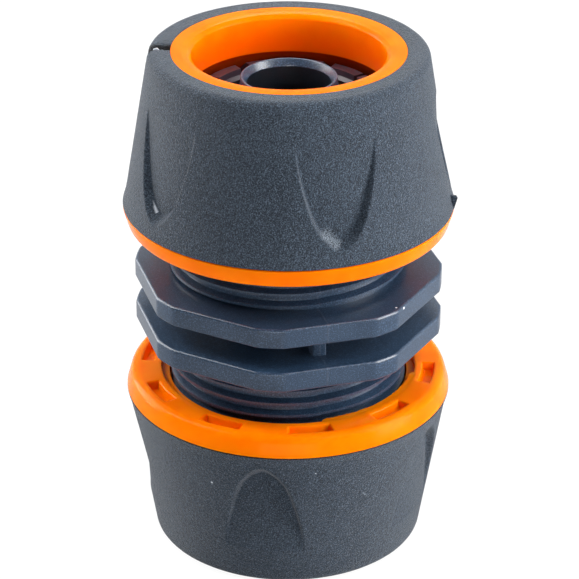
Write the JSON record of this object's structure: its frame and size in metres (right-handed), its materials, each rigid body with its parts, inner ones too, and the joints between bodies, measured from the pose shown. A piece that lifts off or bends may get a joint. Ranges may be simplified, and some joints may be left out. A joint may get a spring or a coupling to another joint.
{
  "type": "hose mender",
  "caption": "Straight hose mender: octagonal double-flange centre with a barbed tail at each end, and a soft-gripped threaded nut at each end that clamps the hose.",
  "frame": {"origin": "centre of the fitting, on the hose axis, midway between the two flanges", "axes": "+Z along the hose axis through the upper nut; -Y is the side with a wrench flat and a rib, which the picture shows turned a little to its right; the mould parting plane is X = 0"},
  "size_m": [0.042, 0.042, 0.0664],
  "materials": {
    "body_plastic": "satin",
    "nut_plastic": "semi-gloss",
    "grip_rubber": "matte"
  },
  "bodies": {
    "centre_body": {"centre_body": "body_plastic"},
    "upper_claws": {"upper_claw_ring": "body_plastic"},
    "upper_nut": {"upper_nut": "nut_plastic", "upper_grip_sleeve": "grip_rubber"},
    "lower_claws": {"lower_claw_ring": "body_plastic"},
    "lower_nut": {"lower_nut": "nut_plastic", "lower_grip_sleeve": "grip_rubber"}
  },
  "joints": [
    {"name": "upper_claw_slide", "type": "slide", "parent": "centre_body", "child": "upper_claws", "axis": [0, 0, 1], "range_m": [-0.00593, 0.00382]},
    {"name": "upper_nut_screw", "type": "hinge", "parent": "upper_claws", "child": "upper_nut", "pos_m": [0, 0, 0], "axis": [0, 0, 1], "range_deg": [-1260, 810]},
    {"name": "lower_claw_slide", "type": "slide", "parent": "centre_body", "child": "lower_claws", "axis": [0, 0, 1], "range_m": [-0.00382, 0.00593]},
    {"name": "lower_nut_screw", "type": "hinge", "parent": "lower_claws", "child": "lower_nut", "pos_m": [0, 0, 0], "axis": [0, 0, 1], "range_deg": [-810, 1260]}
  ],
  "couplings": [
    {"joint": "upper_claw_slide", "follows": "upper_nut_screw", "m_per_rad": 0.00026897},
    {"joint": "lower_claw_slide", "follows": "lower_nut_screw", "m_per_rad": 0.00026897}
  ]
}
